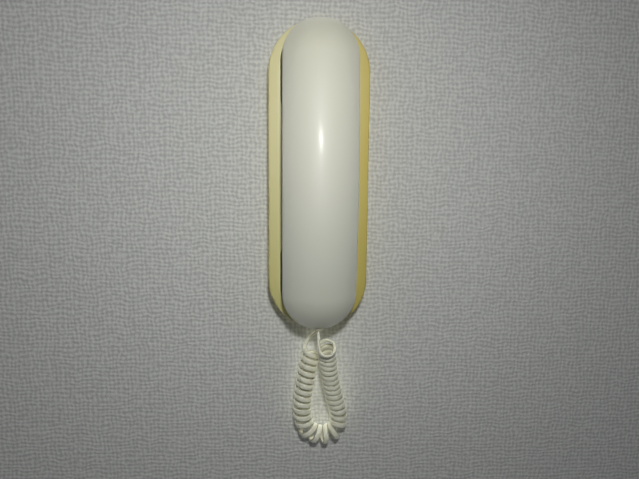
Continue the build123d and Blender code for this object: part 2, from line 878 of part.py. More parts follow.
receiver_front = cup_inside + receiver_gasket_height
with BuildPart() as receiver_capsule:
    with BuildSketch(off_wall(receiver_front)):
        with Locations((0, receiver_z)):
            Circle(receiver_radius)
    extrude(amount=0.6 * receiver_height)
    with BuildSketch(off_wall(receiver_front)):
        with Locations((0, receiver_z)):
            Circle(0.55 * receiver_radius)
    extrude(amount=receiver_height)
save("receiver_capsule", receiver_capsule)

with BuildPart() as microphone_boot:
    with BuildSketch(off_wall(cup_inside)):
        with Locations((0, microphone_z)):
            Circle(microphone_radius + boot_wall)
    extrude(amount=boot_height)
    with BuildSketch(off_wall(cup_inside + boot_floor)):
        with Locations((0, microphone_z)):
            Circle(microphone_radius)
    extrude(amount=boot_height, mode=Mode.SUBTRACT)
    with BuildSketch(off_wall(cup_inside)):
        with Locations((0, microphone_z)):
            Circle(0.4 * microphone_radius)
    extrude(amount=boot_floor, mode=Mode.SUBTRACT)
save("microphone_boot", microphone_boot)

with BuildPart() as microphone_capsule:
    with BuildSketch(off_wall(cup_inside + boot_floor)):
        with Locations((0, microphone_z)):
            Circle(microphone_radius)
    extrude(amount=microphone_height)
save("microphone_capsule", microphone_capsule)

with BuildPart() as weight_plate:
    with BuildSketch(off_wall(plate_inside)):
        RectangleRounded(weight_width, weight_length, 2.0)
        with GridLocations(0, 2 * weight_peg_z, 1, 2):
            Circle(weight_peg_radius + fit_gap, mode=Mode.SUBTRACT)
    extrude(amount=weight_sheet)
save("weight_plate", weight_plate)

# Grommets that hold the two ends of the cord


def grommet(name, height, wall_out, wall_in):
    """A rubber grommet in a lower end wall, with a groove that takes the wall."""
    with BuildPart() as rubber:
        with BuildSketch(Plane.YZ):
            with BuildLine():
                Polyline(
                    (-height, wall_in + grommet_in),
                    (-height - grommet_radius, wall_in + grommet_in),
                    (-height - grommet_radius, wall_in),
                    (-height - grommet_neck + 0.1, wall_in),
                    (-height - grommet_neck + 0.1, wall_out),
                    (-height - grommet_radius, wall_out),
                    (-height - 0.7 * grommet_radius, wall_out - grommet_out),
                    (-height, wall_out - grommet_out),
                    close=True,
                )
            make_face()
        revolve(axis=Axis((0, -height, 0), (0, 0, 1)))
    save(name, rubber)
    return place(0, height, wall_out - grommet_out)


base_end_out = -base_length / 2 + 0.05
base_end_in = base_end_out + housing_wall + side_draft
base_exit = grommet("base_cord_grommet", base_cord_height, base_end_out, base_end_in)
# The handset's end wall leans, so its grommet's groove reaches from the wall's outermost
# to its innermost place beside the grommet
end_walls = [handset_end(seam_height + side * grommet_radius) for side in (-1, 0, 1)]
handset_end_out = -max(end_walls) - fit_gap
handset_end_in = -min(end_walls) + handset_wall + fit_gap
handset_exit = grommet("handset_cord_grommet", seam_height, handset_end_out, handset_end_in)


# Cord


def spline_point(points, u):
    """Smooth curve that follows a route: quadratic pieces that meet at the middles of its runs."""
    last = len(points) - 3
    piece = min(int(u), last)
    t = u - piece
    first = points[piece] if piece == 0 else (points[piece] + points[piece + 1]) * 0.5
    middle = points[piece + 1]
    end = points[piece + 2] if piece == last else (points[piece + 1] + points[piece + 2]) * 0.5
    return first * (1 - t) ** 2 + middle * (2 * t * (1 - t)) + end * t**2


def curl_points():
    """Points of the curls, with a frame that is carried along the route without twisting.

    The curls are spaced evenly along the route less a share of the length that a bend takes from
    their inner side, so they open out where the route bends instead of crowding.
    """
    route = [place(*p) for p in curl_route]
    pieces = len(route) - 2
    count = round(curl_turns * steps_per_turn)
    fine = [spline_point(route, pieces * i / (8 * count)) for i in range(8 * count + 1)]
    measure = [0.0]
    length = 0.0
    last_way = (fine[1] - fine[0]).normalized()
    for a, b in zip(fine, fine[1:]):
        way = (b - a).normalized()
        bend = (way - last_way).length
        measure.append(measure[-1] + (b - a).length - curl_spread * curl_radius * bend)
        length += (b - a).length
        last_way = way
    line = []
    j = 0
    for i in range(count + 1):
        target = measure[-1] * i / count
        while j < len(fine) - 2 and measure[j + 1] < target:
            j += 1
        share = (target - measure[j]) / (measure[j + 1] - measure[j])
        line.append(fine[j] + (fine[j + 1] - fine[j]) * share)
    side = Vector(1, 0, 0)
    points = []
    for i, centre in enumerate(line):
        way = (line[min(i + 1, count)] - line[max(i - 1, 0)]).normalized()
        side = (side - way * side.dot(way)).normalized()
        up = side.cross(way)
        turn = radians(curl_start_angle) + 2 * pi * i / steps_per_turn
        points.append(centre + side * (curl_radius * cos(turn)) + up * (curl_radius * sin(turn)))
    return points, length


def least_gap(points, neighbours):
    """Smallest gap of the tube to itself, between points that aren't neighbours along it."""
    least = 1e9
    for i, p in enumerate(points):
        for q in points[i + neighbours:]:
            if abs(p.X - q.X) < least and abs(p.Z - q.Z) < least:
                least = min(least, (p - q).length)
    return least - cord_tube


curls, curl_line_length = curl_points()


def curl_way(i):
    """Unit direction of the cord at one of the points of the curls."""
    return (curls[min(i + 1, len(curls) - 1)] - curls[max(i - 1, 0)]).normalized()


# Half turns, with a shorter last one
curl_marks = list(range(0, len(curls) - 1, steps_per_turn // 2)) + [len(curls) - 1]
curl_start = curls[0] - curl_way(0) * cord_tube
curl_end = curls[-1] + curl_way(len(curls) - 1) * cord_tube
with BuildPart() as curly_cord:
    with BuildLine() as curl_line:
        Line(curl_start, curls[0])
        for a, b in zip(curl_marks, curl_marks[1:]):
            biarc(curls[a], curl_way(a), curls[b], curl_way(b))
        Line(curls[-1], curl_end)
    with BuildSketch(Plane(origin=curl_start, z_dir=curl_way(0))):
        RegularPolygon(cord_tube / 2, cord_sides)
    sweep(path=curl_line.wires()[0], clean=False)
save("curly_cord", curly_cord)
curl_length = curl_line.wires()[0].length
curl_section = cord_sides / 2 * (cord_tube / 2) ** 2 * sin(2 * pi / cord_sides)
curl_share = curly_cord.part.volume / (curl_section * curl_length)
print("curls", curl_turns, "along a line of", round(curl_line_length, 1))
print("cord in the curls", round(curl_length, 1), "volume share", round(curl_share, 4))
print("least gap of the curls to themselves", round(least_gap(curls, round(0.7 * steps_per_turn)), 2))


def tube(name, points, diameter):
    """A cord through points, with each bend as large as the runs beside it allow."""
    runs = [(b - a).length for a, b in zip(points, points[1:])]
    radii = []
    for i in range(1, len(points) - 1):
        turn = (points[i] - points[i - 1]).get_angle(points[i + 1] - points[i])
        radii.append(0.45 * min(runs[i - 1], runs[i]) / tan(radians(turn) / 2))
    with BuildPart() as cord:
        with BuildLine() as line:
            FilletPolyline(*points, radius=radii)
        with BuildSketch(Plane(origin=points[0], z_dir=points[1] - points[0])):
            RegularPolygon(diameter / 2, cord_sides)
        sweep(path=line.wires()[0])
    save(name, cord)
    length = line.wires()[0].length
    section = cord_sides / 2 * (diameter / 2) ** 2 * sin(2 * pi / cord_sides)
    share = cord.part.volume / (section * length)
    print(name, "length", round(length, 1), "volume share", round(share, 4))
    print(name, "radii", [round(r, 1) for r in radii])
    return length


handset_points = [handset_exit] + [place(*p) for p in handset_lead_route]
handset_points += [curl_start - curl_way(0) * cord_tube, curl_start]
base_points = [base_exit] + [place(*p) for p in base_lead_route]
base_points += [curl_end + curl_way(len(curls) - 1) * (1.5 * cord_tube), curl_end]
free_ends = tube("handset_lead", handset_points, cord_tube) + tube("base_lead", base_points, cord_tube)
print("cord from end to end", round(free_ends + curl_length, 1))

receiver_back = place(0, receiver_front + receiver_height, receiver_z)
wire_points = [place(0, seam_height, handset_end_in + grommet_in)] + [place(*p) for p in wire_route]
wire_points += [receiver_back]
tube("handset_wires", wire_points, wire_diameter)
print("cord ends", handset_exit, curl_start, curl_end, base_exit)
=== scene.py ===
# %% [markdown]
# # A door phone on its wall
# The phone is a slim base on the wall, a crowned handset that covers most of it, and a curly
# cord that hangs in a loop below. Its rigid parts come from a CAD model and stay as they are
# made there. Here they get their finishes, the cord and the wires get their real form, and a
# wall, a camera and lamps are set up as in the photograph. All lengths are in metres: x runs
# to the right along the wall, y into the wall and z up. The flat back of the phone is y = 0.

import bpy
import numpy as np
from mathutils import Matrix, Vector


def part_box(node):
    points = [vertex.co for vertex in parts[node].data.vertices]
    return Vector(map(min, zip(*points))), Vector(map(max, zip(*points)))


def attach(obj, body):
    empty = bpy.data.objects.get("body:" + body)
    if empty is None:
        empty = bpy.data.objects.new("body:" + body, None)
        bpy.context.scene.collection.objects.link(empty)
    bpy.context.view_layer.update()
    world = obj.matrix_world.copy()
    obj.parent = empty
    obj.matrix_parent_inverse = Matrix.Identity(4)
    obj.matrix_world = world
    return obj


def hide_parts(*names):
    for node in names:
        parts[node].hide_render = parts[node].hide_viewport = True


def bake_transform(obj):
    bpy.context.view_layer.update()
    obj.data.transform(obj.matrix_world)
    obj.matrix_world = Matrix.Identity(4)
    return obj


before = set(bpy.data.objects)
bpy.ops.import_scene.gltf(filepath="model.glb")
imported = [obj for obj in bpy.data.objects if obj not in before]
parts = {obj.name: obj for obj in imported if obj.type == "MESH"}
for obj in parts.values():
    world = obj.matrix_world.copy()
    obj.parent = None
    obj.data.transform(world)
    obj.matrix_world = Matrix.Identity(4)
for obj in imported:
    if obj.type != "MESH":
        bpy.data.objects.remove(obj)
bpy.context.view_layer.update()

# %% [markdown]
# ## The camera
# The photograph was taken from about 37 cm, a little left of the phone's middle, slightly
# turned to the right and slightly down. A camera's view is easy to set from three directions
# at right angles: ahead, to the right and up. They become the columns of its matrix, with
# ahead turned round, because a camera looks against its own z.

# %% The camera's three directions
pitch, yaw, roll = np.radians([6.31, 3.68, 0.49])
ahead = np.array([np.sin(yaw) * np.cos(pitch), np.cos(yaw) * np.cos(pitch), -np.sin(pitch)])
level = np.array([np.cos(yaw), -np.sin(yaw), 0.0])
upright = np.cross(level, ahead)
to_right = np.cos(roll) * level + np.sin(roll) * upright
to_top = np.cos(roll) * upright - np.sin(roll) * level
print("the camera looks along", np.round(ahead, 3).tolist())


# %% The camera
def standing(right, top, back, place):
    """The matrix of something at a place whose own x, y and z point right, to the top and back."""
    return Matrix(np.vstack([np.column_stack([right, top, back, place]), [0, 0, 0, 1]]))


camera_place = np.array([-0.0213, -0.365, -0.0056])
camera_data = bpy.data.cameras.new("camera")
camera_data.sensor_width = 36.0
camera_data.lens = 27.04
camera_data.clip_start = 0.01
camera = bpy.data.objects.new("camera", camera_data)
bpy.context.scene.collection.objects.link(camera)
camera.matrix_world = standing(to_right, to_top, -ahead, camera_place)
bpy.context.scene.camera = camera
print("camera", np.round(np.linalg.norm(camera_place) * 1000), "mm from the middle of the phone")

# %% [markdown]
# ## Lines that soft things follow
# A cord follows a smooth line through the air. A NURBS spline draws one from a few points that
# pull it towards themselves, and Blender works out its places. The order is set after the
# points, because a new spline starts with none and would drop back to straight runs.

# %% A smooth line from a few points
def spline_line(name, points, resolution=64):
    """Places along a NURBS spline of order 3 that starts and ends at its outer points."""
    curve = bpy.data.curves.new(name, "CURVE")
    curve.dimensions = "3D"
    spline = curve.splines.new("NURBS")
    spline.points.add(len(points) - 1)
    spline.points.foreach_set("co", np.column_stack([points, np.ones(len(points))]).ravel())
    spline.order_u = 3
    spline.use_endpoint_u = True
    spline.resolution_u = resolution
    guide = bpy.data.objects.new(name, curve)
    mesh = bpy.data.meshes.new_from_object(guide)
    line = np.empty(len(mesh.vertices) * 3)
    mesh.vertices.foreach_get("co", line)
    bpy.data.objects.remove(guide)
    bpy.data.meshes.remove(mesh)
    bpy.data.curves.remove(curve)
    return line.reshape(-1, 3)


# %% [markdown]
# The next helpers work on such a line as a whole array. Some measure along it. The last one
# carries a sideways direction along it without twist, which a flat cord needs: it takes a
# fixed slanting direction as a first guess, adds up how far that guess turns about the line,
# and turns it back by the same amount.

# %% Helpers for lines
def unit(vectors):
    """Each row divided by its own length."""
    return vectors / np.linalg.norm(vectors, axis=-1, keepdims=True)


def square_to(ways, sides):
    """Each side made square to its way: less its own share along the way, and of length 1."""
    return unit(sides - ways * (sides * ways).sum(1)[:, None])


def swung(first, second, angle):
    """The first direction turned towards the second: first by the cosine plus second by the sine."""
    return first * np.cos(angle)[:, None] + second * np.sin(angle)[:, None]


def running_total(steps):
    """The sum of the steps so far, from 0 before the first one."""
    return np.concatenate([[0.0], np.cumsum(steps)])


def along(line):
    """Distance from the start of a line to each of its points: the running total of the steps."""
    return running_total(np.linalg.norm(np.diff(line, axis=0), axis=1))


def at_marks(line, measure, marks):
    """Points of a line where its measure reaches the marks, between its own points."""
    return np.column_stack([np.interp(marks, measure, line[:, k]) for k in range(3)])


def carried(line, start_side, slant):
    """Sideways directions along a line that never twist about it, and the line's own directions.

    A first guess is the cross product of the slant and the line's direction. Its turning about
    the line is summed from point to point, and each guess is turned back by the sum.
    """
    ways = unit(np.gradient(line, axis=0))
    guess = unit(np.cross(slant, ways))
    other = np.cross(ways, guess)
    turned = running_total((np.diff(guess, axis=0) * (other[1:] + other[:-1]) / 2).sum(1))
    first = np.arctan2(other[0] @ start_side, guess[0] @ start_side)
    return swung(guess, other, first - turned), ways


# %% [markdown]
# ## The cord
# The real cord is a flat one with soft ivory insulation, 4.4 mm wide and 2.2 mm thick, wound
# into curls of about 13 mm across. It leaves the lower end of the handset, hangs down in a
# loop, and goes back up into the lower end of the base. A simulation could find the loop, but
# the photograph shows it, so its middle line is a spline through measured places. The curls
# are a circle that travels along that line. Where the line bends, real curls open out like a
# fan, so they are spaced by the length of the line less most of what the inside of a bend
# loses.

# %% The line down the middle of the cord
cord_route = np.array([
    (0.0061, -0.0335, -0.1204), (0.0062, -0.0300, -0.1217), (0.0065, -0.0262, -0.1243),
    (0.0072, -0.0228, -0.1305), (0.0086, -0.0195, -0.1420), (0.0112, -0.0160, -0.1550),
    (0.0142, -0.0135, -0.1680), (0.0178, -0.0115, -0.1800), (0.0164, -0.0104, -0.1938),
    (0.0045, -0.0100, -0.1993), (-0.0076, -0.0098, -0.1938), (-0.0112, -0.0096, -0.1810),
    (-0.0106, -0.0096, -0.1670), (-0.0084, -0.0096, -0.1530), (-0.0064, -0.0096, -0.1420),
    (-0.0044, -0.0096, -0.1335), (-0.0026, -0.0096, -0.1265),
])
curl_radius = 0.0057
inside_share = 0.9
route_line = spline_line("cord_route", cord_route)
bends = np.linalg.norm(np.diff(unit(np.gradient(route_line, axis=0)), axis=0), axis=1)
fan = along(route_line) - inside_share * curl_radius * running_total(bends)
print("line of the cord", round(along(route_line)[-1] * 1000, 1), "mm")

# %% [markdown]
# The curls lie 4.1 mm apart at the handset and open to 5.1 mm at the base. Where the pitch grows
# evenly with the way along the line, the way itself grows with the turns as an exponential.
# Their radius grows by a twelfth on the way, and two slow waves of 2% and 1.5% make it uneven.

# %% How the curls widen
first_pitch, last_pitch = 0.0041, 0.0051
steps_per_turn = 48
growth = 0.08
widening = (last_pitch - first_pitch) / fan[-1]
turns = np.log(last_pitch / first_pitch) / widening
turned = 2 * np.pi * np.arange(int(turns * steps_per_turn)) / steps_per_turn
marks = first_pitch / widening * (np.exp(widening * turned / 2 / np.pi) - 1)
waves = 0.02 * np.sin(turned * 0.37) + 0.015 * np.sin(turned * 0.113 + 1.0)
radius = curl_radius * (1 + waves + growth * marks / marks[-1])
print("radius from", round(radius.min() * 1000, 2), "to", round(radius.max() * 1000, 2), "mm")

# %% [markdown]
# Each point of the curls lies off the middle line by the radius, in a direction that swings
# once round for each turn. The last curl ends at its leftmost point, where the cord leaves it.

# %% The curls
middle = at_marks(route_line, fan, marks)
side, axis_way = carried(middle, np.array([1.0, 0, 0]), np.array([1.0, -1.0, 1.0]))
curls = middle + radius[:, None] * swung(side, np.cross(side, axis_way), np.pi + turned)
leftmost = np.argmin((curls - middle)[-steps_per_turn:, 0])
wound_count = len(curls) - steps_per_turn + leftmost + 1
curls, marks, axis_way = curls[:wound_count], marks[:wound_count], axis_way[:wound_count]
print(round(wound_count / steps_per_turn, 2), "curls of", round(along(curls)[-1] * 1000, 1), "mm of cord")

# %% [markdown]
# The two straight ends run from their grommets to the first and the last curl. Each is a short
# spline whose points next to the curl lie in line with it, so there is no kink. Each starts a
# little inside its grommet, so that no gap shows.

# %% Where the cord leaves the two housings
def lower_mouth(name):
    """The middle of a part's lower end, to a tenth of a millimetre."""
    low, high = np.array(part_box(name))
    return np.round([(low[0] + high[0]) / 2, (low[1] + high[1]) / 2, low[2]], 4)


handset_exit = lower_mouth("handset_cord_grommet")
base_exit = lower_mouth("base_cord_grommet")
inside = np.array([0, 0, 0.0015])
print("exits", handset_exit.tolist(), base_exit.tolist())

# %% The straight ends
curl_in, curl_out = unit(curls[[1, -1]] - curls[[0, -2]])
handset_end = spline_line("handset_end", np.array([
    handset_exit + inside, (0.0002, -0.0305, -0.1125), curls[0] - 0.0045 * curl_in, curls[0],
]), 24)
base_end = spline_line("base_end", np.array([
    curls[-1], curls[-1] + 0.0028 * curl_out, curls[-1] + [0.0022, 0.0038, 0.0060],
    (-0.0040, -0.0062, -0.1196), (-0.0002, -0.0074, -0.1166), base_exit - inside,
    base_exit + inside,
]), 16)
cord_line = np.concatenate([handset_end[:-1], curls, base_end[1:]])
first, last = len(handset_end) - 1, len(handset_end) + len(curls) - 2
cord_length = along(cord_line)[-1]
print("cord from end to end", round(cord_length * 1000, 1), "mm")

# %% [markdown]
# A flat cord lies in its curls with its broad side along the middle line of the curls. On the
# straight ends that broad side is carried on without twist. The section is a flat oval, and
# its half width shrinks where the next curl is closer than the cord is wide, on the inside of
# the bend, where real curls press on each other.

# %% The broad side of the cord
cord_width, cord_thickness = 0.0044, 0.0022
closest = 0.97
broad = np.empty_like(cord_line)
broad[first:last + 1] = square_to(unit(np.gradient(curls, axis=0)), axis_way)
broad[first::-1] = carried(cord_line[first::-1], broad[first], np.array([1.0, 0.4, 0.2]))[0]
broad[last:] = carried(cord_line[last:], broad[last], np.array([1.0, 0.3, 0.2]))[0]

half_width = np.full((2, len(cord_line)), cord_width / 2)
gap = np.linalg.norm(curls[steps_per_turn:] - curls[:-steps_per_turn], axis=1)
fitted = np.minimum(cord_width, closest * gap) / 2
half_width[1, first:first + len(gap)] = fitted
half_width[0, first + steps_per_turn:last + 1] = fitted
print("narrowest half width", round(half_width.min() * 1000, 2), "mm")


# %% Rings along a line
def flattened(wave, power):
    """A wave's size to a power, with the wave's own sign."""
    return np.sign(wave) * np.abs(wave) ** power


def oval_rings(line, broad, low, high, half_thickness, corners=20, power=0.92):
    """Rings of points round a line, each a flat oval.

    A point at angle a lies across the broad side by the cosine's size to the power, times the
    half width of its side, and through the thickness by the sine's size to the power, times
    the half thickness. A power below 1 fills the oval's corners, and 1 makes an ellipse.
    """
    ways = unit(np.gradient(line, axis=0))
    broad = square_to(ways, broad)
    thin = np.cross(ways, broad)
    angle = 2 * np.pi * np.arange(corners) / corners
    across = flattened(np.cos(angle), power)
    through = half_thickness * flattened(np.sin(angle), power)
    half = np.where(across > 0, high[:, None], low[:, None]) * across
    return line[:, None] + broad[:, None] * half[..., None] + thin[:, None] * through[:, None]


# %% [markdown]
# Rings become a tube when each four neighbours on the grid of ring and corner make a face. A
# point in the middle of each outer ring closes the end. A map goes along the tube: its u is
# the distance along the tube in metres, and its v is the tube's number plus the share of the
# way round, so finishes can find a place on a cord, and tell one wire from the next.

# %% Faces and map of tubes
def tube_faces(count, corners, start):
    """Faces of a tube whose points are numbered from start, ring by ring, and then its two ends."""
    i, j = np.meshgrid(np.arange(count - 1), np.arange(corners), indexing="ij")
    k = (j + 1) % corners
    walls = np.stack([i * corners + j, i * corners + k, (i + 1) * corners + k, (i + 1) * corners + j], -1)
    j, end = np.arange(corners), count * corners
    k = (j + 1) % corners
    first_cap = np.stack([k, j, j * 0 + end], -1)
    last_cap = np.stack([end - corners + j, end - corners + k, j * 0 + end + 1], -1)
    groups = (walls.reshape(-1, 4), first_cap, last_cap)
    return [face for group in groups for face in (group + start).tolist()]


def put_map(mesh, lengths, rounds):
    """The map "along", from each point's distance and its tube number plus share of the way round.

    A face that closes the ring has corners past a share of 0.75 and others below 0.25, and the
    low ones count as one more, so that the map doesn't run back over it.
    """
    corner = np.empty(len(mesh.loops), np.int32)
    start, size = np.empty((2, len(mesh.polygons)), np.int32)
    mesh.loops.foreach_get("vertex_index", corner)
    mesh.polygons.foreach_get("loop_start", start)
    mesh.polygons.foreach_get("loop_total", size)
    own = rounds[corner]
    part = own % 1
    closing = np.repeat(np.maximum.reduceat(part, start) > 0.75, size) & (part < 0.25)
    on_map = np.column_stack([lengths[corner], own + closing])
    mesh.uv_layers.new(name="along").data.foreach_set("uv", on_map.ravel())


# %% Tubes as one piece
def skin(name, tubes):
    """One smooth closed mesh over several tubes, each given by its rings, with the map along it."""
    places, faces, lengths, rounds, start = [], [], [], [], 0
    for number, rings in enumerate(tubes):
        count, corners = rings.shape[:2]
        middles = rings.mean(1)
        distance = along(middles)
        faces += tube_faces(count, corners, start)
        places += [rings.reshape(-1, 3), middles[[0, -1]]]
        lengths += [np.repeat(distance, corners), distance[[0, -1]]]
        rounds += [np.tile(np.arange(corners) / corners, count) + number, np.full(2, number + 0.5)]
        start += count * corners + 2
    mesh = bpy.data.meshes.new(name)
    mesh.from_pydata(np.concatenate(places).tolist(), [], faces)
    put_map(mesh, np.concatenate(lengths), np.concatenate(rounds))
    mesh.shade_smooth()
    piece = bpy.data.objects.new(name, mesh)
    bpy.context.scene.collection.objects.link(piece)
    print(name, len(mesh.vertices), "points")
    return piece


# %% The cord as one piece
cord_corners = 20
cord_rings = oval_rings(cord_line, broad, *half_width, cord_thickness / 2, cord_corners)
cord = skin("cord", [cord_rings])
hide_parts("handset_lead", "curly_cord", "base_lead")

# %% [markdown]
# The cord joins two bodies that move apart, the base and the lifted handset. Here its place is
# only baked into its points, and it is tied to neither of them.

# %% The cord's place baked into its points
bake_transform(cord)

# %% [markdown]
# ## The wires inside the handset
# Behind the shell, four thin covered wires run from the cord past the weight plate and up to
# the receiver. They are twisted round each other, so each is a small circle that travels
# along the same spline, a quarter of a turn after the one before.

# %% The line of the wires
wire_route = np.array([
    (0.0000, -0.0300, -0.1005), (0.0000, -0.0300, -0.0950), (0.0120, -0.0355, -0.0700),
    (0.0135, -0.0370, -0.0300), (0.0135, -0.0375, 0.0080), (0.0125, -0.0365, 0.0400),
    (0.0060, -0.0355, 0.0700), (0.0000, -0.0347, 0.0820), (0.0000, -0.0267, 0.0820),
])
wire_points = 420
wire_middle = spline_line("wire_route", wire_route)
wire_length = along(wire_middle)[-1]
wire_marks = np.linspace(0, wire_length, wire_points)
wire_middle = at_marks(wire_middle, along(wire_middle), wire_marks)
wire_side, wire_ways = carried(wire_middle, np.array([1.0, 0, 0]), np.array([1.0, 0.3, 0.1]))
print("wires", round(wire_length * 1000, 1), "mm long")

# %% The wires
wire_count = 4
wire_half = 0.0004
wire_offset = 0.00058
twist_pitch = 0.012


def strand(number):
    """Rings of one wire: a small circle that turns round the middle line, once in each pitch."""
    turned = 2 * np.pi * (wire_marks / twist_pitch + number / wire_count)
    away = swung(wire_side, np.cross(wire_side, wire_ways), turned)
    halves = np.full(wire_points, wire_half)
    return oval_rings(wire_middle + wire_offset * away, away, halves, halves, wire_half, 8, 1.0)


wires = skin("handset_wire_strands", [strand(number) for number in range(wire_count)])
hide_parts("handset_wires")
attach(wires, "handset")

# %% [markdown]
# ## Tools for finishes
# A finish is a small graph of nodes. These helpers add a node, set or link its inputs, and
# turn the colours that one reads off a screen into the linear values that Blender works with.

# %% Helpers for nodes
def shade(red, green, blue):
    """A screen colour from 0 to 255 as linear light: the standard curve of a screen, undone."""
    value = np.array([red, green, blue]) / 255
    linear = np.where(value > 0.04045, ((value + 0.055) / 1.055) ** 2.4, value / 12.92)
    return (*linear.tolist(), 1.0)


def connect(node, inputs):
    """Sets each input of a node to a value, or links it to the socket of another node."""
    for key, value in inputs.items():
        if isinstance(value, bpy.types.NodeSocket):
            node.id_data.links.new(value, node.inputs[key])
        else:
            node.inputs[key].default_value = value


def add(tree, kind, inputs=None, **settings):
    """A new node with its settings and its inputs."""
    made = tree.nodes.new("ShaderNode" + kind)
    for name, value in settings.items():
        setattr(made, name, value)
    connect(made, inputs or {})
    return made


# %% Helpers for values and colours
def calc(tree, operation, *values):
    """The result of a Math node."""
    return add(tree, "Math", dict(enumerate(values)), operation=operation).outputs[0]


def times(tree, first, second):
    """One value times another."""
    return calc(tree, "MULTIPLY", first, second)


def plus(tree, first, second):
    """One value plus another."""
    return calc(tree, "ADD", first, second)


def hypotenuse(tree, across, up):
    """The distance of a place that lies so far across and so far up: the root of the sum of squares."""
    return calc(tree, "SQRT", plus(tree, calc(tree, "POWER", across, 2.0), calc(tree, "POWER", up, 2.0)))


def step_between(tree, value, low, high, to_low=0.0, to_high=1.0):
    """A smooth step of a value from low to high."""
    inputs = {"Value": value, "From Min": low, "From Max": high, "To Min": to_low, "To Max": to_high}
    return add(tree, "MapRange", inputs, interpolation_type="SMOOTHSTEP").outputs[0]


def blend_colours(tree, share, first, second, how="MIX"):
    """The first colour where share is 0 and the second where it is 1.

    Inputs 0, 6 and 7 of a Mix node are its share and its two colours, and output 2 is a colour.
    """
    inputs = {0: share, 6: first, 7: second}
    return add(tree, "Mix", inputs, data_type="RGBA", blend_type=how).outputs[2]


# %% Helpers for patterns and relief
def where(tree):
    """The place on the piece, and its x, y and z."""
    place = add(tree, "TexCoord").outputs["Object"]
    return place, add(tree, "SeparateXYZ", {0: place}).outputs


def noise(tree, place, scale, detail=3.0, roughness=0.5):
    """A cloudy value from 0 to 1 over a place."""
    inputs = {"Vector": place, "Scale": scale, "Detail": detail, "Roughness": roughness}
    return add(tree, "TexNoise", inputs).outputs[0]


def from_cloud(tree, cloud, low, high):
    """A value from low to high that follows a noise, which rarely leaves the range 0.3 to 0.7."""
    return step_between(tree, cloud, 0.3, 0.7, low, high)


def relief(tree, height, strength, depth=0.0002):
    """The normal of a surface that a height seems to raise by a depth, without moving it."""
    return add(tree, "Bump", {"Height": height, "Strength": strength, "Distance": depth}).outputs[0]


# %% Helpers for materials
def finish_of(name):
    """A new material: itself, its node tree and its Principled shader."""
    material = bpy.data.materials.new(name)
    material.use_nodes = True
    return material, material.node_tree, material.node_tree.nodes["Principled BSDF"]


def put_on(material, *names):
    """Gives a material to CAD parts or pieces in place of what they have."""
    for name in names:
        piece = parts.get(name) or bpy.data.objects[name]
        piece.data.materials.clear()
        piece.data.materials.append(material)


# %% [markdown]
# ## Effects that several finishes share
# Four effects come back on many parts, so each is a node group, built once. Moulded plastic
# has a fine skin and cloudy patches of more and less gloss. Old plastic turns yellow, more
# where daylight reaches it. Specks are the dust and the dark grains that a moulding picks up.
# Plated steel shows crystals and fine lines from rolling. A group gives masks, heights and
# colours only, and the shader stays in each material.

# %% Helpers for node groups
def group(name, inputs, outputs):
    """An empty node group with named sockets, the values given to it and its end node."""
    tree = bpy.data.node_groups.new(name, "ShaderNodeTree")
    for label, kind, value in inputs:
        socket = tree.interface.new_socket(label, in_out="INPUT", socket_type="NodeSocket" + kind)
        socket.default_value = value
    for label, kind in outputs:
        tree.interface.new_socket(label, in_out="OUTPUT", socket_type="NodeSocket" + kind)
    return tree, tree.nodes.new("NodeGroupInput").outputs, tree.nodes.new("NodeGroupOutput")


def use(tree, made, **values):
    """What a node group gives when it is placed in a material with its own values."""
    return add(tree, "Group", values, node_tree=made).outputs


# %% Moulded skin
skin_effect, given, end = group(
    "moulded_skin",
    [("Scale", "Float", 900.0), ("Patches", "Float", 18.0)],
    [("Height", "Float"), ("Gloss", "Float")])
place, _ = where(skin_effect)
fine = noise(skin_effect, place, given["Scale"], 2.0)
wave = noise(skin_effect, place, times(skin_effect, given["Scale"], 0.11), 1.0)
connect(end, {
    "Height": plus(skin_effect, times(skin_effect, fine, 0.35), wave),
    "Gloss": noise(skin_effect, place, given["Patches"], 4.0, 0.6),
})

# %% Yellowing with age
age_effect, given, end = group(
    "age_yellowing",
    [("Fresh", "Color", (0.8, 0.8, 0.8, 1)), ("Aged", "Color", (0.7, 0.6, 0.3, 1)),
     ("Daylight", "Float", 0.5)],
    [("Color", "Color")])
place, _ = where(age_effect)
cloud = calc(age_effect, "SUBTRACT", noise(age_effect, place, 22.0, 4.0, 0.6), 0.5)
uneven = plus(age_effect, given["Daylight"], times(age_effect, cloud, 0.22))
within = calc(age_effect, "MINIMUM", calc(age_effect, "MAXIMUM", uneven, 0.0), 1.0)
connect(end, {"Color": blend_colours(age_effect, within, given["Fresh"], given["Aged"])})

# %% Specks
speck_effect, given, end = group(
    "specks",
    [("Scale", "Float", 90.0), ("Few", "Float", 0.94), ("Size", "Float", 0.09)],
    [("Mask", "Float")])
place, _ = where(speck_effect)
cells = add(speck_effect, "TexVoronoi", {"Vector": place, "Scale": given["Scale"]}).outputs
draw = add(speck_effect, "SeparateColor", {0: cells["Color"]}).outputs[0]
chosen = calc(speck_effect, "GREATER_THAN", draw, given["Few"])
inside_dot = calc(speck_effect, "LESS_THAN", cells["Distance"], given["Size"])
connect(end, {"Mask": times(speck_effect, chosen, inside_dot)})

